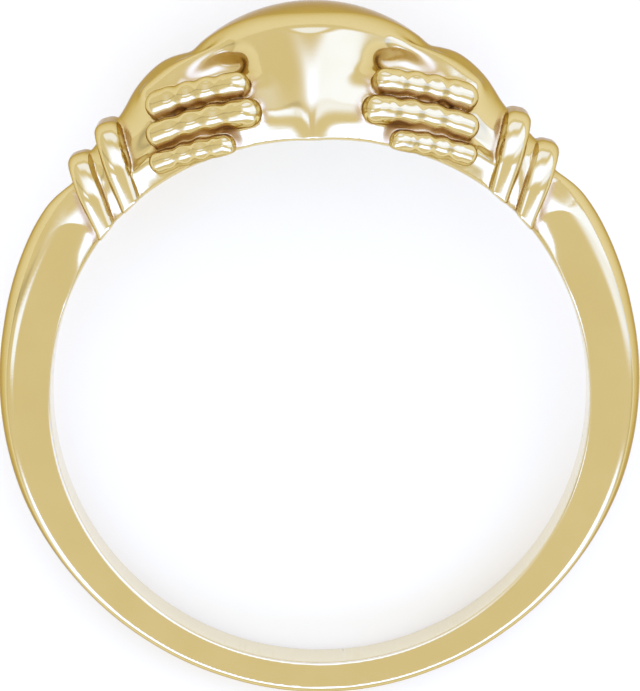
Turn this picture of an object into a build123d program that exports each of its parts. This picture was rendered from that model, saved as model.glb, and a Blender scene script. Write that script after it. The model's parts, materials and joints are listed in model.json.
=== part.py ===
from build123d import *
from math import acos, asin, atan2, cos, degrees, hypot, radians, sin, sqrt
import os

# Claddagh ring, cast in one piece of yellow gold. Millimetres.
# It is modelled upright and laid down at the end. Upright, the bore's axis is Y, the head is at +Z, the
# heart's tip is on the -Y side and its crown on the +Y side. Angles go round the bore from the head.

# Bore and band
bore_radius = 8.65
band_width = 2.00
bore_edge_round = 0.12
bottom_wall = 1.07
shoulder_wall = 2.04
shoulder_dome = 0.85

# Cuffs, from the band towards the heart: angle at the bore, lean towards the heart, length from bore to crest
outer_cuff_angle = 50.1
outer_cuff_lean = 30.0
outer_cuff_length = 2.72
outer_cuff_half_width = 1.60
inner_cuff_angle = 42.2
inner_cuff_lean = 25.0
inner_cuff_length = 2.82
inner_cuff_half_width = 2.00
cuff_bead_radius = 0.42

# Hands
hand_height = 3.31
hand_near_reach = 3.60
hand_far_reach = 3.10
finger_radius = 0.42
finger_waist_radius = 0.36
finger_joints = 3

# Base under the heart
base_near_reach = 4.22
base_far_reach = 4.20
base_height = 2.30
base_lip = 0.60
skirt_run = 1.30

# Heart
heart_height = 3.85
heart_dome_radius = 5.50
heart_half_width = 4.20
heart_tip_reach = 4.25
lobe_radius = 2.20
lobe_reach = 2.60
heart_lean = 0.99
top_tip_radius = 1.10
foot_tip_radius = 0.12
heart_edge_round = 0.40

# Crown
crown_points = 5
crown_valley_reach = 3.75
crown_point_reach = 4.65
crown_base_half_width = 2.05
crown_top_half_width = 2.55
crown_height = 2.75
crown_thickness = 1.30
crown_dome_radius = 9.00
crown_ball_radius = 0.42
crown_ball_height = 2.05

# Metal left inside the bore and above the heart before they are cut, and the reach of a cutting cylinder
spare = 0.35
cutter_length = 30.0

# Band sections from the bottom to one cuff: angle in degrees, wall as a share of the growth from
# bottom_wall to shoulder_wall, and the dome's height as a share of shoulder_dome.
SHANK_SECTIONS = [
    # angle, wall, dome
    (180, 0.00, 0.12),
    (162, 0.02, 0.13),
    (144, 0.10, 0.16),
    (126, 0.27, 0.22),
    (108, 0.47, 0.31),
    (90, 0.61, 0.42),
    (76, 0.70, 0.58),
    (65, 0.88, 0.82),
    (57, 1.00, 1.05),
    (50, 0.92, 1.40),
    (41, 0.72, 1.70),
]

# Wrist and hand sections: angle in degrees, reaches as shares of hand_near_reach and hand_far_reach, height of the
# crest above the bore as a share of hand_height, and height where the side turns over as a share of the crest's.
# The near side is the ground that the fingers stand on.
HAND_SECTIONS = [
    # angle, near, far, crest, side
    (47, 0.26, 0.38, 0.58, 0.50),
    (40, 0.42, 0.60, 0.69, 0.45),
    (33, 0.57, 0.84, 0.76, 0.45),
    (28, 0.66, 0.96, 0.90, 0.45),
    (23.5, 0.75, 0.96, 0.98, 0.52),
    (19, 0.86, 0.88, 0.98, 0.56),
    (12.5, 1.00, 0.70, 0.82, 0.60),
]

# Base sections: angle in degrees, reaches as shares of base_near_reach and base_far_reach, and height as a share
# of base_height.
BASE_SECTIONS = [
    # angle, near, far, height
    (0, 1.00, 1.00, 1.00),
    (9, 0.92, 0.99, 0.99),
    (15, 0.87, 0.96, 0.86),
    (21, 0.81, 0.89, 0.68),
    (27, 0.67, 0.80, 0.56),
    (34, 0.53, 0.58, 0.48),
    (40, 0.38, 0.36, 0.44),
]

# Fingers of one hand, from the wrist's end to the tip's end: angles in degrees, heights above the bore as
# shares of hand_height, reaches along the bore as shares of the base's reach on that side, which are minus on
# the side of the heart's tip, and thickness as a share of finger_radius.
FINGERS = {
    # name: start angle, start height, start reach, end angle, end height, end reach, thickness
    "index": (27.0, 0.80, -0.30, 15.0, 0.86, -0.48, 0.95),
    "middle": (27.5, 0.66, -0.48, 12.6, 0.60, -0.83, 1.10),
    "ring": (30.0, 0.42, -0.58, 11.9, 0.34, -0.93, 1.10),
    "little": (32.5, 0.14, -0.60, 17.6, 0.08, -0.91, 0.95),
    "thumb": (31.0, 0.45, 0.56, 15.5, 0.66, 0.80, 1.10),
}


def around(angle, height, reach):
    """Point at an angle round the bore, a height above its wall and a reach along its axis."""
    radius = bore_radius + height
    return Vector(radius * sin(radians(angle)), reach, radius * cos(radians(angle)))


def along_base(share):
    """Reach along the bore as a share of the base's reach on that side of the head."""
    return share * (base_near_reach if share < 0 else base_far_reach)


def radial_plane(angle):
    """Plane through the bore's axis: its X runs along the axis and its Y points outwards."""
    return Plane(
        origin=(0, 0, 0),
        x_dir=(0, 1, 0),
        z_dir=(cos(radians(angle)), 0, -sin(radians(angle))),
    )


def rod_along_bore(radius, height=0):
    """Long cylinder along the bore, with its axis at a height over the bore's."""
    return Pos(0, 0, height) * Rot(90, 0, 0) * Cylinder(radius, cutter_length)


def both_sides(solid):
    """The solid and its mirror image on the other side of the head."""
    return [solid, solid.mirror(Plane.YZ)]


def across(point):
    """The mirror image, on the other side of the head, of a point seen from above."""
    return (-point[0], point[1])


def there_and_back(rows, section):
    """Sections for the rows of one side, their mirror images first, the row on the middle only once."""
    mirrored = [section(-row[0], *row[1:]) for row in reversed(rows[1:])]
    return mirrored + [section(*row) for row in rows]


def arched_section(angle, near, far, side_height, crest_height):
    """Section with its foot inside the bore, straight sides and an arched top."""
    foot = bore_radius - spare
    side = bore_radius + side_height
    crest = bore_radius + crest_height
    edges = [
        Line((near, foot), (far, foot)),
        Line((far, foot), (far, side)),
        ThreePointArc((far, side), ((near + far) / 2, crest), (near, side)),
        Line((near, side), (near, foot)),
    ]
    return radial_plane(angle) * Wire(edges)


def skirt_section(angle, near_share, far_share, height_share):
    """Section of the base: a lip at the bore, a round shoulder on each side and a flat top."""
    near = -base_near_reach * near_share
    far = base_far_reach * far_share
    run = skirt_run * near_share
    foot = bore_radius - spare
    lip = bore_radius + base_lip
    top = bore_radius + base_height * height_share
    shoulder = top - (top - lip) * (1 - sin(radians(45)))
    inset = run * (1 - sin(radians(45)))
    edges = [
        Line((near, foot), (far, foot)),
        Line((far, foot), (far, lip)),
        ThreePointArc((far, lip), (far - inset, shoulder), (far - run, top)),
        Line((far - run, top), (near + run, top)),
        ThreePointArc((near + run, top), (near + inset, shoulder), (near, lip)),
        Line((near, lip), (near, foot)),
    ]
    return radial_plane(angle) * Wire(edges)


def is_rim(edge):
    """True for the edges where the bore leaves the band's flat sides."""
    on_side = abs(abs(edge.center().Y) - band_width / 2) < 0.01
    ends = [edge.start_point(), edge.end_point()]
    return on_side and all(abs(hypot(end.X, end.Z) - bore_radius) < 0.01 for end in ends)


def shank():
    """Band round the bottom and up to both cuffs, flat sided, with a dome that grows to the shoulders."""
    rows = []
    for angle, wall_share, dome_share in SHANK_SECTIONS:
        wall = bottom_wall + wall_share * (shoulder_wall - bottom_wall)
        side = wall - dome_share * shoulder_dome
        rows.append((angle, -band_width / 2, band_width / 2, side, wall))
    band = Solid.make_loft(there_and_back(rows, arched_section)) - rod_along_bore(bore_radius)
    return fillet([edge for edge in band.edges() if is_rim(edge)], bore_edge_round)


def base():
    """Broad part of the band under the heart and the hands."""
    return Solid.make_loft(there_and_back(BASE_SECTIONS, skirt_section))


def hand_back():
    """Wrist inside the cuffs and the back of the hand, up to the heart's wall."""
    sections = []
    for angle, near_share, far_share, crest_share, side_share in HAND_SECTIONS:
        near = -near_share * hand_near_reach
        far = far_share * hand_far_reach
        crest = crest_share * hand_height
        sections.append(arched_section(angle, near, far, side_share * crest, crest))
    return Solid.make_loft(sections)


def cuff(angle, lean, length, half_width):
    """Round ridge that arches over the wrist, filled inside, with its crest nearer to the heart than its foot."""
    ring_radius = half_width - cuff_bead_radius
    ridge = Torus(ring_radius, cuff_bead_radius) + Cylinder(ring_radius, cuff_bead_radius)
    across_wrist = Plane(origin=around(angle, 0, 0), x_dir=(0, 1, 0), z_dir=radial_plane(angle - lean).z_dir)
    return across_wrist * Pos(0, length - half_width, 0) * ridge


def finger(start_angle, start_height, start_reach, end_angle, end_height, end_reach, thickness):
    """Straight finger with round ends and a swelling on each joint, turned about its own length."""
    start = around(start_angle, start_height * hand_height, along_base(start_reach))
    end = around(end_angle, end_height * hand_height, along_base(end_reach))
    radius = thickness * finger_radius
    waist = thickness * finger_waist_radius
    length = (end - start).length
    slant = radius * sin(radians(45))
    outline = [Line((0, -radius), (0, length + radius))]
    outline.append(ThreePointArc((0, -radius), (slant, -slant), (radius, 0)))
    for joint in range(finger_joints):
        low = length * joint / finger_joints
        high = length * (joint + 1) / finger_joints
        low_radius = radius if joint == 0 else waist
        high_radius = radius if joint == finger_joints - 1 else waist
        outline.append(ThreePointArc((low_radius, low), (radius * 1.02, (low + high) / 2), (high_radius, high)))
    outline.append(ThreePointArc((radius, length), (slant, length + slant), (0, length + radius)))
    turned = revolve(Face(Wire(outline)), Axis.Y)
    place = Plane(origin=start, x_dir=(0, 1, 0), z_dir=end - start)
    return place * Rot(90, 0, 0) * turned


def heart_outline(z, grow, tip_radius):
    """Heart seen from above: two round lobes joined by straight tangents to a tip of its own radius."""
    lobe = lobe_radius + grow / 2
    lobe_x = heart_half_width - lobe_radius + grow / 2
    lobe_y = lobe_reach - lobe_radius
    tip_end = heart_tip_reach + grow
    tip_y = tip_radius - tip_end
    heading = atan2(lobe_y - tip_y, lobe_x)
    normal = heading - acos((tip_radius - lobe) / hypot(lobe_x, lobe_y - tip_y))
    tip_side = (tip_radius * cos(normal), tip_y + tip_radius * sin(normal))
    lobe_side = (lobe_x + lobe * cos(normal), lobe_y + lobe * sin(normal))
    lobe_top = (lobe_x + lobe * cos(radians(60)), lobe_y + lobe * sin(radians(60)))
    notch = (0, lobe_y + sqrt(lobe**2 - lobe_x**2))
    edges = [
        ThreePointArc(across(tip_side), (0, -tip_end), tip_side),
        Line(tip_side, lobe_side),
        ThreePointArc(lobe_side, lobe_top, notch),
        ThreePointArc(notch, across(lobe_top), across(lobe_side)),
        Line(across(lobe_side), across(tip_side)),
    ]
    return Pos(0, 0, z) * Wire(edges)


def heart():
    """Tall walls that lean in towards the top, cut by a dome that is level from tip to lobes."""
    foot = bore_radius - spare
    crest = bore_radius + heart_height
    outlines = [
        heart_outline(foot, heart_lean / 2, foot_tip_radius),
        heart_outline(crest + spare, -heart_lean / 2, top_tip_radius),
    ]
    body = Solid.make_loft(outlines) & rod_along_bore(heart_dome_radius, crest - heart_dome_radius)
    top = body.faces().sort_by(Axis.Z)[-1]
    return fillet(top.edges(), heart_edge_round)


def crown_x(step):
    """Place across the head of each point, and at half steps of each valley between points."""
    return crown_top_half_width * (1 - 2 * step / (crown_points - 1))


def crown_ball_centre(step):
    """Centre of a point's ball. The balls at the two ends are the lowest when the ring lies down."""
    x = crown_x(step)
    return (x, crown_point_reach, sqrt((bore_radius + crown_ball_height) ** 2 - x**2))


def crown():
    """Plate behind the heart's lobes that flares into points, with a ball on each point."""
    front = lobe_reach - lobe_radius
    outline = [(-crown_base_half_width, front), (crown_base_half_width, front)]
    for step in range(crown_points):
        outline.append((crown_x(step), crown_point_reach))
        if step + 1 < crown_points:
            outline.append((crown_x(step + 0.5), crown_valley_reach))
    crest = bore_radius + crown_height
    flat = Pos(0, 0, crest - crown_thickness) * Face(Wire(Polyline(*outline, close=True).edges()))
    plate = extrude(flat, crown_thickness) & rod_along_bore(crown_dome_radius, crest - crown_dome_radius)
    balls = [Pos(*crown_ball_centre(step)) * Sphere(crown_ball_radius) for step in range(crown_points)]
    return [plate] + balls


def upright_ring():
    """All the forms fused into one casting, then bored to size."""
    forms = [shank(), base(), heart()] + crown()
    one_side = [
        hand_back(),
        cuff(outer_cuff_angle, outer_cuff_lean, outer_cuff_length, outer_cuff_half_width),
        cuff(inner_cuff_angle, inner_cuff_lean, inner_cuff_length, inner_cuff_half_width),
    ]
    one_side += [finger(*row) for row in FINGERS.values()]
    for form in one_side:
        forms += both_sides(form)
    return forms[0].fuse(*forms[1:]) - rod_along_bore(bore_radius)


def rest_lean():
    """Lean of the ring's plane when it lies on the end balls of its crown and on the back rim of its band."""
    ball = crown_ball_centre(0)
    rim_radius = bore_radius + bottom_wall - SHANK_SECTIONS[0][2] * shoulder_dome
    rise = ball[1] - band_width / 2
    run = ball[2] + rim_radius
    return degrees(atan2(rise, run) + asin(crown_ball_radius / hypot(rise, run)))


def lay_down(ring):
    """Place of the ring on its crown side, with the middle of its box over the origin and its lowest point at 0."""
    turn = Rot(rest_lean() - 90, 0, 0)
    box = (turn * ring).bounding_box()
    middle = box.center()
    return Pos(-middle.X, -middle.Y, -box.min.Z) * turn


if __name__ == "__main__":
    os.makedirs("parts", exist_ok=True)
    casting = upright_ring()
    cast_ring = lay_down(casting) * casting
    cast_ring.label = "cast_ring"
    export_step(cast_ring, "parts/cast_ring.step")
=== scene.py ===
import json
from math import cos, pi, radians, sin, sqrt

import bpy
import numpy as np
from mathutils import Matrix, Vector


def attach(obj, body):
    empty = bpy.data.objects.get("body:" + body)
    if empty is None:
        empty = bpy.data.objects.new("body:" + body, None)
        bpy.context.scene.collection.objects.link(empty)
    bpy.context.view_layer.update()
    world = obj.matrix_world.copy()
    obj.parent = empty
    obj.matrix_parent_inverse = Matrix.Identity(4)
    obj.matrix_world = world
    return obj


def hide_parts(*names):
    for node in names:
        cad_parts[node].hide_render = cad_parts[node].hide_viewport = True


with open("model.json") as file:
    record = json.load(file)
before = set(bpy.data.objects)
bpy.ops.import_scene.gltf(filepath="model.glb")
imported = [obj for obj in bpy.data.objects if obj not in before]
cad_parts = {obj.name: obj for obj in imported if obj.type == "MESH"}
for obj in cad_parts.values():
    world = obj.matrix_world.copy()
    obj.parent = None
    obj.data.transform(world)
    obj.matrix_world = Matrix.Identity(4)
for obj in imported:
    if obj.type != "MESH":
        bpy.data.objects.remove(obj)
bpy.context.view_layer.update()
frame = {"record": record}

# The ring is shaped upright, in millimetres, and laid down with the mesh. Upright, the bore's axis is Y,
# the head is at +Z, the heart's tip is on the -Y side and the crown on the +Y side. Angles go round the bore
# from the head, heights rise from the bore's wall and reaches run along Y. Both sides of the head are mirror
# images, so every form is made for +X alone. Each form is a distance to its skin, negative in the metal.

# Bore and band, which reaches under the cuffs as far as band_end
bore_radius = 8.65
bore_edge_round = 0.12
band_width = 2.00
band_edge_round = 0.16
band_end = 41.0
band_end_round = 0.20

# Tongue at each end of the band's flat side, with the dome that falls away round it
tongue_angle = 52.5
tongue_height = 1.42
tongue_radius = 0.70
tongue_edge_round = 0.08
tongue_fall = 0.42
tongue_deepest_fall = 0.35
tongue_fade = 0.50

# Band sections: angle, height of the flat side, height of the crest
BAND = [
    (180, 0.99, 1.08),
    (160, 0.99, 1.09),
    (144, 1.04, 1.17),
    (126, 1.15, 1.33),
    (108, 1.27, 1.53),
    (90, 1.34, 1.67),
    (76, 1.38, 1.78),
    (66, 1.41, 1.92),
    (58, 1.42, 2.02),
    (53, 1.40, 2.03),
    (49, 1.30, 1.88),
    (46, 1.20, 1.74),
    (41, 1.00, 1.70),
]

# Cuffs, from the band towards the heart: angle at the bore, lean towards the heart, length from bore to
# crest, half width along the bore
CUFFS = [
    (50.1, 30.0, 2.72, 1.60),
    (42.2, 25.0, 2.82, 2.00),
]
cuff_half_thickness = 0.43
cuff_foot_half_thickness = 0.34
cuff_foot_height = 1.50
cuff_round_share = 0.80
cuff_shoulder_rise = 1.70
cuff_shoulder_run = 1.25
cuff_draw = 0.06
cuff_facet_turn = 22.0
cuff_facet_width = 0.22
cuff_facet_top = 1.90
cuff_facet_fade = 0.80
cuff_facet_round = 0.20

# Wrist and hand sections: angle, near edge, far edge, height where the side turns over, height of the crest.
# The near side is the ground that the fingers stand on.
HAND = [
    (50, -1.20, 1.10, 0.90, 1.72),
    (46, -1.42, 1.34, 0.90, 1.92),
    (42, -1.62, 1.64, 0.90, 2.10),
    (39, -1.74, 1.95, 0.90, 2.18),
    (36, -1.84, 2.30, 0.95, 2.26),
    (33, -1.98, 2.60, 1.05, 2.44),
    (30, -2.20, 2.85, 1.20, 2.80),
    (27, -2.42, 2.95, 1.30, 3.04),
    (23.5, -2.68, 2.98, 1.50, 3.24),
    (20, -2.98, 2.80, 1.70, 3.20),
    (17, -3.22, 2.60, 1.75, 3.05),
    (14, -3.45, 2.40, 1.75, 2.80),
    (11, -3.55, 2.10, 1.60, 2.50),
]
hand_edge_round = 0.45
wrist_end = 47.0
wrist_end_round = 0.30

# Palm under the fingers: the angle where it ends, and how many degrees sooner for each millimetre further out
palm_end = 9.0
palm_end_round = 0.25
palm_slant = 2.7
palm_slant_from = 2.0

# Fingers: start angle, height, reach and radius, end angle, height, reach and radius
FINGERS = {
    "middle": (26.2, 2.16, -2.10, 0.48, 12.6, 2.00, -3.50, 0.41),
    "ring": (28.8, 1.38, -2.45, 0.44, 11.9, 1.12, -3.95, 0.47),
    "little": (31.5, 0.62, -2.60, 0.36, 17.6, 0.30, -3.85, 0.38),
    "thumb": (31.0, 1.49, 2.35, 0.50, 15.5, 2.18, 3.36, 0.44),
}
finger_waist = 0.88
finger_joints = 4
finger_stations = 121

# Nail on each fingertip: half its length and width, how proud it stands, and how far it leans off the reach
nail_half_length = 0.24
nail_half_width = 0.19
nail_set_back = 0.06
nail_rise = 0.02
nail_lean = 0.35

# Index finger along the top of the hand, and the hollow under it: angle, height and reach
index_start = (27.0, 2.50, -1.00)
index_end = (12.5, 3.02, -1.45)
index_radius = 0.26
pocket_place = (15.9, 2.46, -2.05)
pocket_size = (0.80, 0.44, 0.34)

# Radius at which lengths round the bore are measured for the fingers
unroll_radius = 10.6

# Base under the heart: angle, near reach, far reach, height
BASE = [
    (0, 4.22, 4.20, 2.30),
    (2.5, 4.16, 4.20, 2.30),
    (4.5, 4.07, 4.20, 2.30),
    (9, 3.84, 4.18, 2.28),
    (12, 3.66, 4.12, 2.18),
    (15, 3.56, 4.02, 1.98),
    (18, 3.50, 3.90, 1.75),
    (22, 3.30, 3.70, 1.48),
    (27, 2.75, 3.36, 1.25),
    (34, 2.20, 2.44, 1.05),
    (40, 1.60, 1.51, 0.97),
]
base_lip = 0.70
base_edge_round = 0.05
base_end_round = 0.30
base_draw = 0.11
base_draw_curve = 1.25
base_draw_most = 1.20
skirt_run = 1.30

# Heart: its size, the lean of its walls, the blunt ridge that runs down from its tip, and its domed top
heart_height = 4.06
heart_dome_radius = 5.50
heart_half_width = 4.20
heart_tip_reach = 4.25
lobe_radius = 2.20
lobe_reach = 2.60
heart_lean = 0.64
heart_lean_cosine = 0.99
heart_lean_in = 0.20
heart_foot_in = 0.36
heart_foot_share = 0.50
heart_tip_radius = 0.10
heart_ridge_top = 1.70
heart_ridge_foot = 0.12
heart_draw_foot = 1.05
heart_draw_top = 0.55
heart_flare_height = 2.20
heart_flare = 0.20
heart_edge_round = 0.38
heart_fall = 0.042
heart_summit = -0.30
wall_spare = 0.35

# Crown: a domed plate, the points that rise from it, their balls and the rolled rim along its foot
crown_points = 5
crown_valley_reach = 3.75
crown_point_reach = 4.65
crown_base_half_width = 2.05
crown_top_half_width = 2.55
crown_height = 2.75
crown_thickness = 1.30
crown_dome_radius = 9.00
crown_ball_radius = 0.42
crown_ball_height = 2.05
crown_edge_round = 0.20
crown_side_round = 0.25
crown_plate_set_back = 0.30
crown_plate_start = 0.40
crown_point_length = 0.75
crown_point_spread = 0.88
crown_point_rise = 0.02
crown_point_foot_radius = 0.56
crown_point_tip_radius = 0.20
crown_rim_reach = 2.98
crown_rim_radius = 0.24
crown_rim_sink = 0.05
crown_rim_set_in = 0.05

# Widths of the fillets where the forms of the head run into each other
hand_fillet = 0.35
index_fillet = 0.60
base_fillet = 0.45
cuff_fillet = 0.16
heart_fillet = 0.34
pocket_fillet = 0.80
finger_fillet = 0.34
between_fingers_fillet = 0.12
crown_fillet = 0.16
crown_point_fillet = 0.12
crown_rim_fillet = 0.10

# Angle that holds all of the head, and the box that holds the half of the ring at +X
head_angle = 60
half_ring_low = (-5.0, -10.2)
half_ring_high = (10.7, 5.5, 12.9)

# Fineness of the mesh in millimetres
pitch = 0.06
most_triangles = 188000

# Least values that a distance is divided by
least_rise = 0.2
least_share = 0.001

# Angles at which the tables of sections are drawn as curves
dial_step = 0.05
dial = np.arange(0, 180 + dial_step, dial_step)


def lofted(rows, column, spread=1.2):
    """One column of a table of sections, drawn round the bore and softened over a spread of degrees."""
    rows = sorted(rows)
    straight = np.interp(dial, [row[0] for row in rows], [row[column] for row in rows])
    reach = int(3 * spread / dial_step)
    bell = np.exp(-0.5 * (np.arange(-reach, reach + 1) * dial_step / spread) ** 2)
    return np.convolve(np.pad(straight, reach, mode="reflect"), bell / bell.sum(), mode="valid")


def at(curve, turn):
    """Value of a lofted curve at each angle."""
    place = turn / dial_step
    low = np.clip(place.astype(np.int32), 0, len(dial) - 2)
    part = place - low
    return curve[low] * (1 - part) + curve[low + 1] * part


def blend(one, other, width):
    """Join two forms with a soft fillet."""
    near = np.maximum(width - np.abs(one - other), 0) / width
    return np.minimum(one, other) - near**3 * width / 6


def shared(one, other, width):
    """Keep what is in both forms, with a soft edge."""
    return -blend(-one, -other, width)


def edged(one, other, radius):
    """Keep what is in both forms, with an edge of this radius."""
    one = one + radius
    other = other + radius
    return np.minimum(np.maximum(one, other), 0) + np.hypot(np.maximum(one, 0), np.maximum(other, 0)) - radius


class Spots:
    """Points near the ring, with their angle round the bore and their height above it."""

    def __init__(self, points):
        self.x = np.abs(points[:, 0])
        self.y = points[:, 1]
        self.z = points[:, 2]
        self.radius = np.hypot(self.x, self.z)
        self.height = self.radius - bore_radius
        self.turn = np.degrees(np.arctan2(self.x, self.z))
        self.run = np.radians(self.turn) * unroll_radius

    def ahead_of(self, angle):
        """Length round the bore from this angle to the point, at the point's own radius."""
        return np.radians(self.turn - angle) * self.radius


band_side = lofted(BAND, 1)
band_crest = lofted(BAND, 2)
hand_near, hand_far, hand_side, hand_crest = [lofted(HAND, column) for column in (1, 2, 3, 4)]
base_near, base_far, base_top = [lofted(BASE, column, spread=0.9) for column in (1, 2, 3)]


def arch(spots, near, far, side, crest, edge):
    """Straight sides from near to far, with an arc over them."""
    half = (far - near) / 2
    rise = crest - side
    radius = (half**2 + rise**2) / (2 * rise)
    middle = (near + far) / 2
    over = np.hypot(spots.y - middle, spots.height - crest + radius) - radius
    return edged(np.abs(spots.y - middle) - half, over, edge)


def band(spots):
    """Band with flat sides that end in a round tongue before the cuffs."""
    past = np.minimum(spots.ahead_of(tongue_angle) - tongue_radius, 0)
    outside = np.hypot(past, spots.height - tongue_height + tongue_radius) - tongue_radius
    outside = np.sqrt(np.maximum(outside, 0) ** 2 + tongue_edge_round**2) - tongue_edge_round
    fall = tongue_fall * outside * np.clip(-past / tongue_fade, 0, 1)
    fall *= np.clip(spots.height / tongue_height, 0, 1)
    half = band_width / 2 - np.minimum(fall, tongue_deepest_fall)
    side = at(band_side, spots.turn)
    crest = at(band_crest, spots.turn)
    body = arch(spots, -half, half, side, crest, band_edge_round)
    return shared(body, -spots.ahead_of(band_end), band_end_round)


def base(spots):
    """Broad part of the band under the heart, drawn in a little at the bore, with a soft top."""
    near = at(base_near, spots.turn)
    far = at(base_far, spots.turn)
    top = at(base_top, spots.turn) - base_lip
    drawn = base_draw * np.clip(1 - spots.height / base_lip, 0, base_draw_most) ** base_draw_curve
    widest_reach = BASE[0][1]
    run = skirt_run * near / widest_reach
    aside = np.maximum(np.maximum(run - near + drawn - spots.y, spots.y + run - far), 0)
    rise = np.maximum(spots.height - base_lip, 0)
    share = np.hypot(aside / run, rise / top)
    steepness = np.hypot(aside / run**2, rise / top**2) / np.maximum(share, least_share)
    form = (share - 1) / np.maximum(steepness, least_rise)
    form = edged(form, np.abs(spots.y - (far - near) / 2) - (far + near) / 2, base_edge_round)
    return shared(form, spots.ahead_of(band_end), base_end_round)


def hand(spots):
    """Wrist inside the cuffs, the back of the hand and its palm, which ends behind the fingertips."""
    form = arch(
        spots,
        at(hand_near, spots.turn),
        at(hand_far, spots.turn),
        at(hand_side, spots.turn),
        at(hand_crest, spots.turn),
        hand_edge_round,
    )
    form = shared(form, spots.ahead_of(wrist_end), wrist_end_round)
    past_tips = palm_end + palm_slant * np.maximum(-spots.y - palm_slant_from, 0)
    return shared(form, -spots.ahead_of(past_tips), palm_end_round)


def cuff(spots, foot_angle, lean, length, half_width):
    """Rolled collar over the wrist that leans towards the heart, thinner at the bore than on top."""
    along = spots.ahead_of(foot_angle)
    through = along * cos(radians(lean)) + spots.height * sin(radians(lean))
    up = spots.height * cos(radians(lean)) - along * sin(radians(lean))
    foot = np.clip(1 - up / cuff_foot_height, 0, 1)
    rise = np.maximum(up - length + cuff_shoulder_rise, 0) / cuff_shoulder_rise
    side = np.abs(spots.y) - half_width + cuff_draw * foot**2
    aside = np.maximum(side / cuff_shoulder_run + 1, 0)
    share = np.hypot(rise, aside)
    steepness = np.hypot(rise / cuff_shoulder_rise, aside / cuff_shoulder_run)
    over = (share - 1) * share / np.maximum(steepness, least_rise)
    thinning = (cuff_foot_half_thickness - cuff_half_thickness) * foot**2 * (3 - 2 * foot)
    thick = cuff_half_thickness + thinning
    form = edged(over, np.abs(through) - thick, cuff_round_share * thick)
    width = cuff_facet_width * np.clip((cuff_facet_top - up) / cuff_facet_fade, 0, 1)
    facet_turn = radians(cuff_facet_turn)
    facet = over * cos(facet_turn) + (through - thick + width) * sin(facet_turn)
    return shared(form, facet, cuff_facet_round)


def unrolled(spots):
    """Points with the bore unrolled: length round it, reach along it and height above it."""
    return np.stack([spots.run, spots.y, spots.height], axis=1)


def unrolled_point(angle, height, reach):
    """One place by its angle, height and reach, with the bore unrolled."""
    return np.array([radians(angle) * unroll_radius, reach, height])


def index_ridge(spots):
    """Index finger, which lies along the top of the hand and shows only as a soft ridge."""
    start = unrolled_point(*index_start)
    end = unrolled_point(*index_end)
    length = np.linalg.norm(end - start)
    axis = (end - start) / length
    from_start = unrolled(spots) - start
    off = from_start - np.clip(from_start @ axis, 0, length)[:, None] * axis
    return np.sqrt((off**2).sum(axis=1)) - index_radius


def pocket(spots):
    """Hollow between the hand and the heart, over the middle finger."""
    off = unrolled(spots) - unrolled_point(*pocket_place)
    share = np.sqrt(((off / np.array(pocket_size)) ** 2).sum(axis=1))
    return (share - 1) * min(pocket_size)


def finger(spots, start_angle, start_height, start_reach, root, end_angle, end_height, end_reach, tip):
    """Finger that follows the bore, with a swelling on each joint and a nail on its tip."""
    start = unrolled_point(start_angle, start_height, start_reach)
    end = unrolled_point(end_angle, end_height, end_reach)
    length = np.linalg.norm(end - start)
    axis = (end - start) / length
    from_start = unrolled(spots) - start
    place = from_start @ axis
    off = from_start - place[:, None] * axis
    stations = np.linspace(0, 1, finger_stations)
    swelling = 1 - (1 - finger_waist) * (0.5 + 0.5 * np.cos(2 * pi * stations * finger_joints))
    swelling[stations < 0.5 / finger_joints] = 1
    swelling[stations > 1 - 0.5 / finger_joints] = 1
    swelling *= root + (tip - root) * stations
    thick = np.interp(place / length, stations, swelling)
    beyond = place - np.clip(place, 0, length)
    outward = np.array([0.0, np.sign(start_reach), nail_lean])
    outward -= outward.dot(axis) * axis
    outward /= np.linalg.norm(outward)
    across = np.cross(axis, outward)
    facing = off @ outward
    off_nail = np.hypot((place - length + nail_set_back) / nail_half_length, (off @ across) / nail_half_width)
    nail = np.where(facing > 0, nail_rise, 0) * np.exp(-(off_nail**4))
    return np.sqrt((off**2).sum(axis=1) + beyond**2) - thick - nail


def heart(spots):
    """Tall walls that lean in towards the top, under a dome that is level from tip to lobes."""
    crest = bore_radius + heart_height
    foot = bore_radius - wall_spare
    share = np.clip((spots.z - foot) / (crest + wall_spare - foot), 0, 1)
    grow = heart_lean * (0.5 - share) - heart_lean_in * share**4
    grow -= heart_foot_in * np.clip(1 - share / heart_foot_share, 0, 1) ** 2
    ridge = heart_ridge_foot + share * (heart_ridge_top - heart_ridge_foot)
    flare = 1 + heart_flare * np.clip(1 - spots.height / heart_flare_height, 0, 1) ** 1.5
    x = ridge + (np.sqrt(spots.x**2 + ridge**2) - ridge) * flare
    tip = heart_tip_radius
    lobe = lobe_radius + grow / 2
    lobe_x = heart_half_width - lobe_radius + grow / 2
    lobe_y = lobe_reach - lobe_radius
    draw = heart_draw_foot + share * (heart_draw_top - heart_draw_foot)
    tip_y = tip - heart_tip_reach - grow - ridge * draw
    length = np.hypot(lobe_x, lobe_y - tip_y)
    axis_x = lobe_x / length
    axis_y = (lobe_y - tip_y) / length
    across = np.abs(x * axis_y - (spots.y - tip_y) * axis_x)
    along = x * axis_x + (spots.y - tip_y) * axis_y
    lean_in = (tip - lobe) / length
    straight = np.sqrt(1 - lean_in**2)
    place = along * straight - across * lean_in
    walls = across * straight + along * lean_in - tip
    walls = np.where(place < 0, np.hypot(across, along) - tip, walls)
    walls = np.where(place > length * straight, np.hypot(across, along - length) - lobe, walls)
    drop = heart_fall * (spots.y - heart_summit) ** 2
    dome = np.hypot(spots.x, spots.z + drop - crest + heart_dome_radius) - heart_dome_radius
    return edged(walls * heart_lean_cosine, dome, heart_edge_round)


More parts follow.
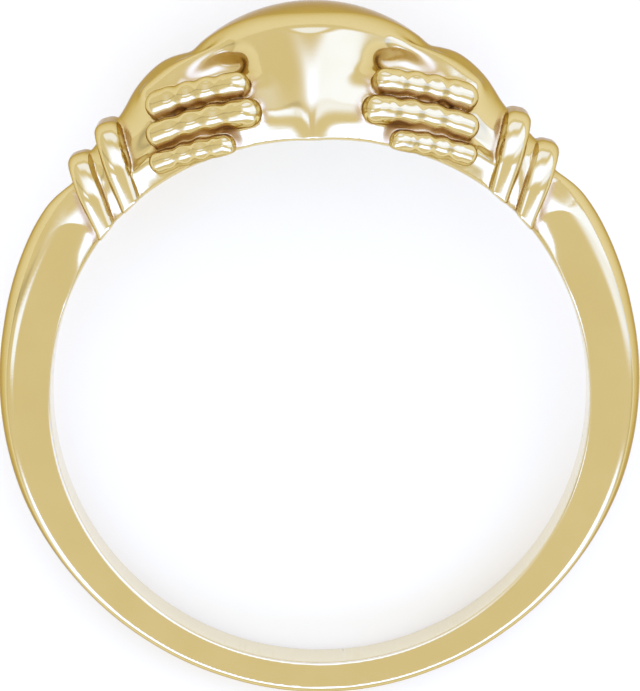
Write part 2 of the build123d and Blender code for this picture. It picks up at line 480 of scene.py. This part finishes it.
def crown(spots):
    """Plate behind the lobes that flares into points, with a rolled rim along its foot."""
    crest = bore_radius + crown_height
    dome = np.hypot(spots.x, spots.z - crest + crown_dome_radius) - crown_dome_radius
    plate = edged(dome, -dome - crown_thickness, crown_edge_round)
    flare = (crown_top_half_width - crown_base_half_width) / crown_valley_reach
    side = spots.x - crown_base_half_width - flare * spots.y
    form = edged(plate, side, crown_side_round)
    form = edged(form, spots.y - crown_valley_reach + crown_plate_set_back, crown_side_round)
    for step in range(crown_points // 2 + 1):
        x = crown_top_half_width * (1 - 2 * step / (crown_points - 1))
        top = np.array([x, crown_point_reach, sqrt((bore_radius + crown_ball_height) ** 2 - x**2)])
        foot = np.array([
            x * crown_point_spread,
            crown_valley_reach - crown_point_length,
            top[2] + crown_point_rise,
        ])
        point = round_cone(spots, foot, top, crown_point_foot_radius, crown_point_tip_radius)
        form = blend(form, point, crown_point_fillet)
    from_rim = np.hypot(dome + crown_rim_sink, spots.y - crown_rim_reach)
    rim_end = spots.x - crown_top_half_width + crown_rim_set_in
    rim = edged(from_rim - crown_rim_radius, rim_end, crown_edge_round)
    return shared(blend(form, rim, crown_rim_fillet), crown_plate_start - spots.y, crown_edge_round)


def round_cone(spots, start, end, start_radius, end_radius):
    """Rod with round ends of two radii."""
    length = np.linalg.norm(end - start)
    axis = (end - start) / length
    from_start = np.stack([spots.x, spots.y, spots.z], axis=1) - start
    place = np.clip(from_start @ axis, 0, length)
    off = from_start - place[:, None] * axis
    return np.sqrt((off**2).sum(axis=1)) - start_radius - (end_radius - start_radius) * place / length


def head(spots, form):
    """Everything above the shoulders, joined to the band."""
    form = blend(form, hand(spots), hand_fillet)
    form = blend(form, index_ridge(spots), index_fillet)
    form = blend(form, base(spots), base_fillet)
    for cuff_row in CUFFS:
        form = blend(form, cuff(spots, *cuff_row), cuff_fillet)
    form = blend(form, heart(spots), heart_fillet)
    form = shared(form, -pocket(spots), pocket_fillet)
    each = [finger(spots, *finger_row) for finger_row in FINGERS.values()]
    fingers = each[0]
    for one in each[1:]:
        fingers = blend(fingers, one, between_fingers_fillet)
    form = blend(form, fingers, finger_fillet)
    return blend(form, crown(spots), crown_fillet)


def casting(points):
    """Distance to the skin of the whole casting, negative in the metal."""
    spots = Spots(points)
    form = band(spots)
    near_head = spots.turn < head_angle
    if near_head.any():
        form[near_head] = head(Spots(points[near_head]), form[near_head])
    return edged(form, -spots.height, bore_edge_round)


def in_runs(points, work, run=400000):
    """Work on many points a run at a time."""
    return np.concatenate([work(points[first:first + run]) for first in range(0, len(points), run)])


# Four directions that share out space evenly, along which the slope is felt
CORNERS = np.array([(1, 1, 1), (1, -1, -1), (-1, 1, -1), (-1, -1, 1)], dtype=float)


def slope(points, step=0.01):
    """Direction in which the distance to the skin grows fastest."""
    return sum(corner * in_runs(points + corner * step, casting)[:, None] for corner in CORNERS) / (4 * step)


def on_skin(points, passes):
    """Points moved onto the skin, by no more than the longest step in each pass."""
    longest = 0.6 * pitch
    for _ in range(passes):
        rise = slope(points)
        steep = np.maximum((rise**2).sum(axis=1), least_rise)
        shift = (in_runs(points, casting) / steep)[:, None] * rise
        reach = np.linalg.norm(shift, axis=1)
        points = points - shift * np.minimum(1, longest / np.maximum(reach, 1e-9))[:, None]
    return points


def sampled_half(low, counts):
    """Distances on the half of the grid at +X, worked out only in blocks near the skin."""
    block = 8
    blocks_at_once = 800
    blocks = [-(-count // block) for count in counts]
    size = block * pitch
    farthest = size * 1.15
    middles = [low[axis] + (np.arange(blocks[axis]) + 0.5) * size - pitch / 2 for axis in range(3)]
    centres = np.stack(np.meshgrid(*middles, indexing="ij"), axis=-1).reshape(-1, 3)
    coarse = in_runs(centres, casting)
    field = np.repeat(coarse, block**3).astype(np.float32).reshape(*blocks, block, block, block)
    field = field.reshape(-1, block, block, block)
    offsets = (np.arange(block) - (block - 1) / 2) * pitch
    inner = np.stack(np.meshgrid(offsets, offsets, offsets, indexing="ij"), axis=-1).reshape(-1, 3)
    near_skin = np.nonzero(np.abs(coarse) < farthest)[0]
    for first in range(0, len(near_skin), blocks_at_once):
        chosen = near_skin[first:first + blocks_at_once]
        points = (centres[chosen][:, None, :] + inner[None]).reshape(-1, 3)
        field[chosen] = casting(points).reshape(-1, block, block, block)
    field = field.reshape(*blocks, block, block, block).transpose(0, 3, 1, 4, 2, 5)
    return field.reshape(*[count * block for count in blocks])


def skinned():
    """Vertices and four-sided faces of the casting's skin, one vertex in each cell that the skin crosses."""
    low = np.array([pitch / 2, *half_ring_low])
    half = sampled_half(low, np.ceil((half_ring_high - low) / pitch).astype(int))
    field = np.concatenate([half[::-1], half])
    low[0] = -(half.shape[0] - 0.5) * pitch
    inside = field < 0
    corners = [(i, j, k) for i in (0, 1) for j in (0, 1) for k in (0, 1)]
    cells = [inside[i:inside.shape[0] - 1 + i, j:inside.shape[1] - 1 + j, k:inside.shape[2] - 1 + k]
             for i, j, k in corners]
    crossed = np.logical_or.reduce(cells) & ~np.logical_and.reduce(cells)
    where = np.argwhere(crossed)
    number = np.full(crossed.shape, -1, dtype=np.int32)
    number[crossed] = np.arange(len(where))
    total = np.zeros((len(where), 3))
    count = np.zeros(len(where))
    for one in corners:
        for axis in range(3):
            if one[axis]:
                continue
            other = tuple(one[a] + (a == axis) for a in range(3))
            start = field[tuple((where + one).T)]
            end = field[tuple((where + other).T)]
            cuts = (start < 0) != (end < 0)
            share = np.where(cuts, start / np.where(cuts, start - end, 1), 0)
            point = where + one + share[:, None] * (np.arange(3) == axis)
            total += point * cuts[:, None]
            count += cuts
    vertices = low + total / count[:, None] * pitch
    quads = []
    for axis in range(3):
        sides = [a for a in range(3) if a != axis]
        first = [slice(None)] * 3
        second = [slice(None)] * 3
        first[axis] = slice(0, -1)
        second[axis] = slice(1, None)
        for side in sides:
            first[side] = second[side] = slice(1, -1)
        starts_in = inside[tuple(first)]
        ends_in = inside[tuple(second)]
        cut = np.argwhere(starts_in != ends_in)
        leaves = starts_in[tuple(cut.T)]
        cell = cut.copy()
        ring_of_cells = []
        for shift in ((0, 0), (1, 0), (1, 1), (0, 1)):
            step = cell.copy()
            step[:, sides[0]] += shift[0]
            step[:, sides[1]] += shift[1]
            ring_of_cells.append(number[tuple(step.T)])
        quad = np.stack(ring_of_cells, axis=1)
        forward = leaves if axis != 1 else ~leaves
        quads.append(np.where(forward[:, None], quad, quad[:, ::-1]))
    return vertices, np.concatenate(quads)


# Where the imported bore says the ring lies
finger_hole = next(mount for mount in frame["record"]["mounts"] if mount["name"] == "finger_hole")
towards_tip = Vector(finger_hole["axis"]).normalized()
towards_head = towards_tip.cross(Vector((1, 0, 0))).normalized()
laid_down = Matrix((Vector((1, 0, 0)), -towards_tip, towards_head)).transposed().to_4x4()
bore_centre = Vector(finger_hole["pos_m"])
ring_to_world = Matrix.Translation(bore_centre) @ laid_down @ Matrix.Scale(0.001, 4)


def new_object(name, mesh):
    """Object at the origin that holds a mesh."""
    piece = bpy.data.objects.new(name, mesh)
    bpy.context.collection.objects.link(piece)
    return piece


def applied(piece):
    """The piece's evaluated mesh, with its modifiers taken off."""
    seen = piece.evaluated_get(bpy.context.evaluated_depsgraph_get())
    mesh = bpy.data.meshes.new_from_object(seen, depsgraph=bpy.context.evaluated_depsgraph_get())
    piece.modifiers.clear()
    piece.data = mesh
    return mesh


def mesh_points(mesh):
    """Vertices of a mesh as rows of numbers."""
    flat = np.empty(len(mesh.vertices) * 3, dtype=np.float32)
    mesh.vertices.foreach_get("co", flat)
    return flat.reshape(-1, 3).astype(float)


class Value:
    """A socket's value, so that shader sums read as ordinary ones."""

    def __init__(self, shader, socket):
        self.shader = shader
        self.socket = socket

    def __add__(self, other):
        return self.shader.node("ShaderNodeMath", {"operation": "ADD"}, self, other)

    def __mul__(self, other):
        return self.shader.node("ShaderNodeMath", {"operation": "MULTIPLY"}, self, other)

    def __rsub__(self, other):
        return self.shader.node("ShaderNodeMath", {"operation": "SUBTRACT"}, other, self)

    __radd__ = __add__
    __rmul__ = __mul__

    def rising(self, low, high):
        """0 up to low, 1 from high on, and soft between them."""
        settings = {"interpolation_type": "SMOOTHSTEP"}
        return self.shader.node("ShaderNodeMapRange", settings, self, low, high, 0.0, 1.0)

    def between(self, low, high, soft):
        """1 between two levels, with soft ends."""
        return self.rising(low - soft, low + soft) * (1 - self.rising(high - soft, high + soft))


class Shader:
    """Makes nodes in one tree."""

    def __init__(self, tree):
        self.tree = tree
        tree.nodes.clear()

    def fill(self, socket, value):
        """Link a socket to another node's value, or set it."""
        if isinstance(value, Value):
            self.tree.links.new(value.socket, socket)
        else:
            socket.default_value = value

    def node(self, kind, settings, *values, output=0, **named):
        """A node with its settings made first, then its sockets, by their order or by name."""
        made = self.tree.nodes.new(kind)
        for name, value in settings.items():
            setattr(made, name, value)
        for index, value in enumerate(values):
            self.fill(made.inputs[index], value)
        for name, value in named.items():
            self.fill(made.inputs[name.replace("_", " ")], value)
        return Value(self, made.outputs[output] if made.outputs else None)

    def mixed(self, share, low, high):
        """Colour between two, by share. The node's colour sockets have the names of its number ones."""
        mix = self.tree.nodes.new("ShaderNodeMix")
        mix.data_type = "RGBA"
        for index, value in ((0, share), (6, low), (7, high)):
            self.fill(mix.inputs[index], value)
        return Value(self, mix.outputs[2])


# Colours of the gold: on its polished skin and in slightly worn patches of it, painted shade in its hollows,
# its tint at glancing angles, and a painted highlight in the bore
BRIGHT_GOLD = (0.672, 0.532, 0.232, 1)
WORN_GOLD = (0.652, 0.510, 0.212, 1)
HOLLOW_SHADE_GOLD = (0.600, 0.420, 0.180, 1)
GLANCING_TINT = (0.58, 0.45, 0.25, 1)
BORE_HIGHLIGHT_GOLD = (0.80, 0.72, 0.50, 1)


def polished_gold():
    """Pale yellow gold, hand polished: rougher with painted shade in its hollows, painted bright in the bore.
    """
    material = bpy.data.materials.new("polished_gold")
    material.use_nodes = True
    shader = Shader(material.node_tree)
    place = shader.node("ShaderNodeTexCoord", {}, output="Object")
    hollow = shader.node("ShaderNodeAttribute", {"attribute_name": "hollow"}, output="Fac")
    cloud = shader.node("ShaderNodeTexNoise", {}, place, Scale=260.0, Detail=3.0, Roughness=0.55)
    grain = shader.node("ShaderNodeTexNoise", {}, place, Scale=5200.0, Detail=4.0, Roughness=0.65)
    drawn = shader.node("ShaderNodeMapping", {}, place, Scale=(0.25, 1.0, 0.25))
    hairlines = shader.node("ShaderNodeTexNoise", {}, drawn, Scale=9000.0, Detail=2.0, Roughness=0.5)
    # Painted shade: the gold's colour deepens in hollows, which are also made rougher and more pebbled
    shaded_and_dulled = hollow.rising(0.10, 0.75)
    polish = shader.mixed(cloud.rising(0.35, 0.65), BRIGHT_GOLD, WORN_GOLD)
    colour = shader.mixed(shaded_and_dulled, polish, HOLLOW_SHADE_GOLD)
    rough = 0.085 + cloud * 0.03 + hairlines * 0.02 + shaded_and_dulled * 0.20
    lines = shader.node("ShaderNodeBump", {}, Strength=0.03, Distance=0.00002, Height=hairlines)
    pebbles = grain * (0.15 + shaded_and_dulled * 0.85)
    pebbled = shader.node("ShaderNodeBump", {}, Strength=0.05, Distance=0.00003, Height=pebbles, Normal=lines)
    outside = shader.node(
        "ShaderNodeBsdfPrincipled", {}, Base_Color=colour, Metallic=1.0, Roughness=rough, Normal=pebbled,
        Specular_Tint=GLANCING_TINT,
    )
    # Painted highlight: the bore's wall gets a paler gold colour that stands in for the bright reflection it
    # shows
    bore = shader.node("ShaderNodeAttribute", {"attribute_name": "bore"}, output="Fac")
    inside = shader.node(
        "ShaderNodeBsdfPrincipled", {}, Base_Color=BORE_HIGHLIGHT_GOLD, Metallic=1.0, Roughness=0.14, Normal=lines,
    )
    both = shader.node("ShaderNodeMixShader", {}, bore, outside, inside)
    shader.node("ShaderNodeOutputMaterial", {}, both)
    return material


gold = polished_gold()

# How far out a hollow is felt for, and the height over the bore's wall where the bore's painted highlight
# ends
hollow_reach = 0.30
bore_highlight_height = 0.04


def add_measure(mesh, name, values):
    """Keep a value for each vertex of the mesh, for its material to read."""
    mesh.attributes.new(name, "FLOAT", "POINT").data.foreach_set("value", values.astype(np.float32))


def cast_body():
    """The casting as one closed skin, finest where it bends most."""
    vertices, quads = skinned()
    vertices = on_skin(vertices, 2)
    mesh = bpy.data.meshes.new("cast_body")
    mesh.from_pydata(vertices, [], quads)
    piece = new_object("cast_body", mesh)
    thinning = piece.modifiers.new("thinning", "DECIMATE")
    thinning.ratio = min(1.0, most_triangles / (2 * len(quads)))
    thinning.use_collapse_triangulate = True
    mesh = applied(piece)
    points = on_skin(mesh_points(mesh), 2)
    normals = slope(points)
    normals /= np.linalg.norm(normals, axis=1)[:, None]
    mesh.vertices.foreach_set("co", points.astype(np.float32).ravel())
    # How closed in each vertex is, which drives the painted shade and the roughness in the hollows
    open_air = in_runs(points + normals * hollow_reach, casting) / hollow_reach
    add_measure(mesh, "hollow", np.clip(1 - open_air, 0, 1))
    # Where the painted highlight of the bore lies
    add_measure(mesh, "bore", np.clip(1.5 - Spots(points).height / bore_highlight_height, 0, 1))
    mesh.transform(ring_to_world)
    mesh.update()
    mesh.shade_smooth()
    turned = normals @ np.array(laid_down.to_3x3().transposed())
    mesh.normals_split_custom_set_from_vertices(turned.tolist())
    mesh.materials.append(gold)
    return piece


def crown_balls():
    """A ball on each point of the crown, set out by a geometry tree with the crown's own sizes."""
    tree = bpy.data.node_groups.new("crown_balls", "GeometryNodeTree")
    for name, kind in (
        ("Points", "NodeSocketInt"),
        ("Half width", "NodeSocketFloat"),
        ("Reach", "NodeSocketFloat"),
        ("Arc radius", "NodeSocketFloat"),
        ("Ball radius", "NodeSocketFloat"),
    ):
        tree.interface.new_socket(name, in_out="INPUT", socket_type=kind)
    tree.interface.new_socket("Geometry", in_out="OUTPUT", socket_type="NodeSocketGeometry")

    def node(kind, links=(), **settings):
        """A node with its settings, then its sockets, each with a value or another node's output."""
        made = tree.nodes.new(kind)
        for name, value in settings.items():
            setattr(made, name, value)
        for key, source in links:
            if hasattr(source, "is_linked"):
                tree.links.new(source, made.inputs[key])
            else:
                made.inputs[key].default_value = source
        return made

    def maths(operation, *values):
        """Result of one sum."""
        return node("ShaderNodeMath", list(enumerate(values)), operation=operation).outputs[0]

    sizes = node("NodeGroupInput").outputs
    index = node("GeometryNodeInputIndex").outputs[0]
    step = maths("DIVIDE", maths("MULTIPLY", index, 2.0), maths("SUBTRACT", sizes["Points"], 1.0))
    across = maths("MULTIPLY", sizes["Half width"], maths("SUBTRACT", 1.0, step))
    across_squared = maths("POWER", across, 2.0)
    rise = maths("SQRT", maths("SUBTRACT", maths("POWER", sizes["Arc radius"], 2.0), across_squared))
    place = node("ShaderNodeCombineXYZ", [(0, across), (1, sizes["Reach"]), (2, rise)]).outputs[0]
    line = node("GeometryNodePoints", [("Count", sizes["Points"]), ("Position", place)]).outputs[0]
    ball_sizes = [("Radius", sizes["Ball radius"]), ("Subdivisions", 5)]
    ball = node("GeometryNodeMeshIcoSphere", ball_sizes).outputs[0]
    placed = node("GeometryNodeInstanceOnPoints", [("Points", line), ("Instance", ball)]).outputs[0]
    real = node("GeometryNodeRealizeInstances", [("Geometry", placed)]).outputs[0]
    smooth = node("GeometryNodeSetShadeSmooth", [("Geometry", real)]).outputs[0]
    coated = node("GeometryNodeSetMaterial", [("Geometry", smooth), ("Material", gold)]).outputs[0]
    tree.links.new(coated, node("NodeGroupOutput").inputs[0])

    piece = new_object("crown_balls", bpy.data.meshes.new("crown_balls"))
    setting_out = piece.modifiers.new("setting_out", "NODES")
    setting_out.node_group = tree
    values = {
        "Points": crown_points,
        "Half width": crown_top_half_width,
        "Reach": crown_point_reach,
        "Arc radius": bore_radius + crown_ball_height,
        "Ball radius": crown_ball_radius,
    }
    for item in tree.interface.items_tree:
        if item.in_out == "INPUT":
            setting_out[item.identifier] = values[item.name]
    mesh = applied(piece)
    mesh.transform(ring_to_world)
    return piece


for piece in (cast_body(), crown_balls()):
    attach(piece, "root")
    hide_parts("cast_ring")


def floor():
    """Plain pale floor that the ring lies on, lit a little from below like a light table."""
    mesh = bpy.data.meshes.new("floor")
    half = 1.5
    corners = [(-half, -half, 0), (half, -half, 0), (half, half, 0), (-half, half, 0)]
    mesh.from_pydata(corners, [], [(0, 1, 2, 3)])
    material = bpy.data.materials.new("pale_floor")
    material.use_nodes = True
    shader = Shader(material.node_tree)
    matt = shader.node(
        "ShaderNodeBsdfPrincipled", {}, Base_Color=(0.66, 0.58, 0.34, 1), Roughness=0.9,
        Emission_Color=(1.0, 0.99, 0.97, 1), Emission_Strength=0.28,
    )
    shader.node("ShaderNodeOutputMaterial", {}, matt)
    mesh.materials.append(material)
    new_object("floor", mesh)


# Light of the tent's cool lamps, which the warm gold and floor turn white
LAMP_LIGHT = (0.42, 0.78, 2.80, 1)


def studio():
    """Even white tent round the ring, with cool soft boxes and a few dimmer places in its wall.

    Each place in the tent is known by three shares of its direction: how far it lies aside along X, how far
    towards the ring's head, and how far above the ring's near face.
    """
    world = bpy.data.worlds.new("tent")
    bpy.context.scene.world = world
    world.use_nodes = True
    shader = Shader(world.node_tree)
    away = shader.node("ShaderNodeTexCoord", {}, output="Generated")

    def towards(direction):
        """How far each place in the tent lies in one direction."""
        settings = {"operation": "DOT_PRODUCT"}
        return shader.node("ShaderNodeVectorMath", settings, away, tuple(direction), output="Value")

    aside = towards((1, 0, 0))
    headward = towards(towards_head)
    above = towards(towards_tip)
    up = above.rising(-0.03, 0.04)
    head_box = aside.rising(-0.80, -0.05) * headward.between(0.17, 0.72, 0.09)
    streak = aside.between(-0.26, 0.36, 0.30) * headward.between(0.24, 0.66, 0.12)
    side_box = aside.rising(0.25, 0.60) * headward.between(-0.06, 0.15, 0.08)
    strip = aside.between(-0.74, -0.38, 0.06) * headward.between(-0.10, 0.04, 0.03)
    far_wall = aside.rising(-1.00, -0.30) * headward.rising(0.84, 0.92)
    foot_box = aside.between(-0.75, 0.75, 0.15) * headward.between(-0.70, -0.34, 0.05)
    gap = aside.between(-1.10, -0.66, 0.08) * headward.between(0.08, 0.18, 0.05)
    low = (1 - above.rising(0.10, 0.45)) * (1 - headward.rising(0.10, 0.25))
    dim = gap * 0.30 + low * (0.10 + aside.rising(0.20, 0.80) * 0.16)
    plain = 1.0 - dim * up
    boxes = head_box * 1.1 + streak * 0.5 + side_box * 0.9 + strip * 1.2 + foot_box * 2.2 + far_wall * 0.8
    walls = shader.node("ShaderNodeBackground", {}, (1.0, 1.0, 1.0, 1), plain)
    lamps = shader.node("ShaderNodeBackground", {}, LAMP_LIGHT, boxes * up)
    both = shader.node("ShaderNodeAddShader", {}, walls, lamps)
    shader.node("ShaderNodeOutputWorld", {}, both)


# Camera at the photograph's place, in millimetres of the upright ring and pixels of the picture: it looks at
# the band's flat side from a little towards the head
camera_rise = radians(9.3)
camera_distance = 150.0
camera_roll = radians(1.5)
picture_height = 691
focal_pixels = 4644.0
aim_up = 47.9
aim_right = 0.2
sensor_size = 36.0


def camera():
    """Camera that sees the ring as the photograph does."""
    back = Vector((0, -cos(camera_rise), sin(camera_rise)))
    top = Vector((0, sin(camera_rise), cos(camera_rise)))
    forward = (-back + top * (aim_up / focal_pixels) + Vector((aim_right / focal_pixels, 0, 0))).normalized()
    upward = Vector((1, 0, 0)).cross(forward).normalized()
    rightward = forward.cross(upward).normalized()
    pose = Matrix((rightward, upward, -forward)).transposed().to_4x4()
    pose = Matrix.Rotation(camera_roll, 4, "Y") @ Matrix.Translation(back * camera_distance) @ pose
    lens = bpy.data.cameras.new("camera")
    lens.sensor_width = sensor_size
    lens.lens = focal_pixels / picture_height * sensor_size
    lens.clip_start = 0.005
    lens.clip_end = 20.0
    holder = bpy.data.objects.new("camera", lens)
    bpy.context.collection.objects.link(holder)
    spot = ring_to_world @ pose.translation
    holder.matrix_world = Matrix.Translation(spot) @ (laid_down.to_3x3() @ pose.to_3x3()).to_4x4()
    bpy.context.scene.camera = holder


floor()
studio()
camera()
bpy.context.scene.view_settings.view_transform = "Standard"
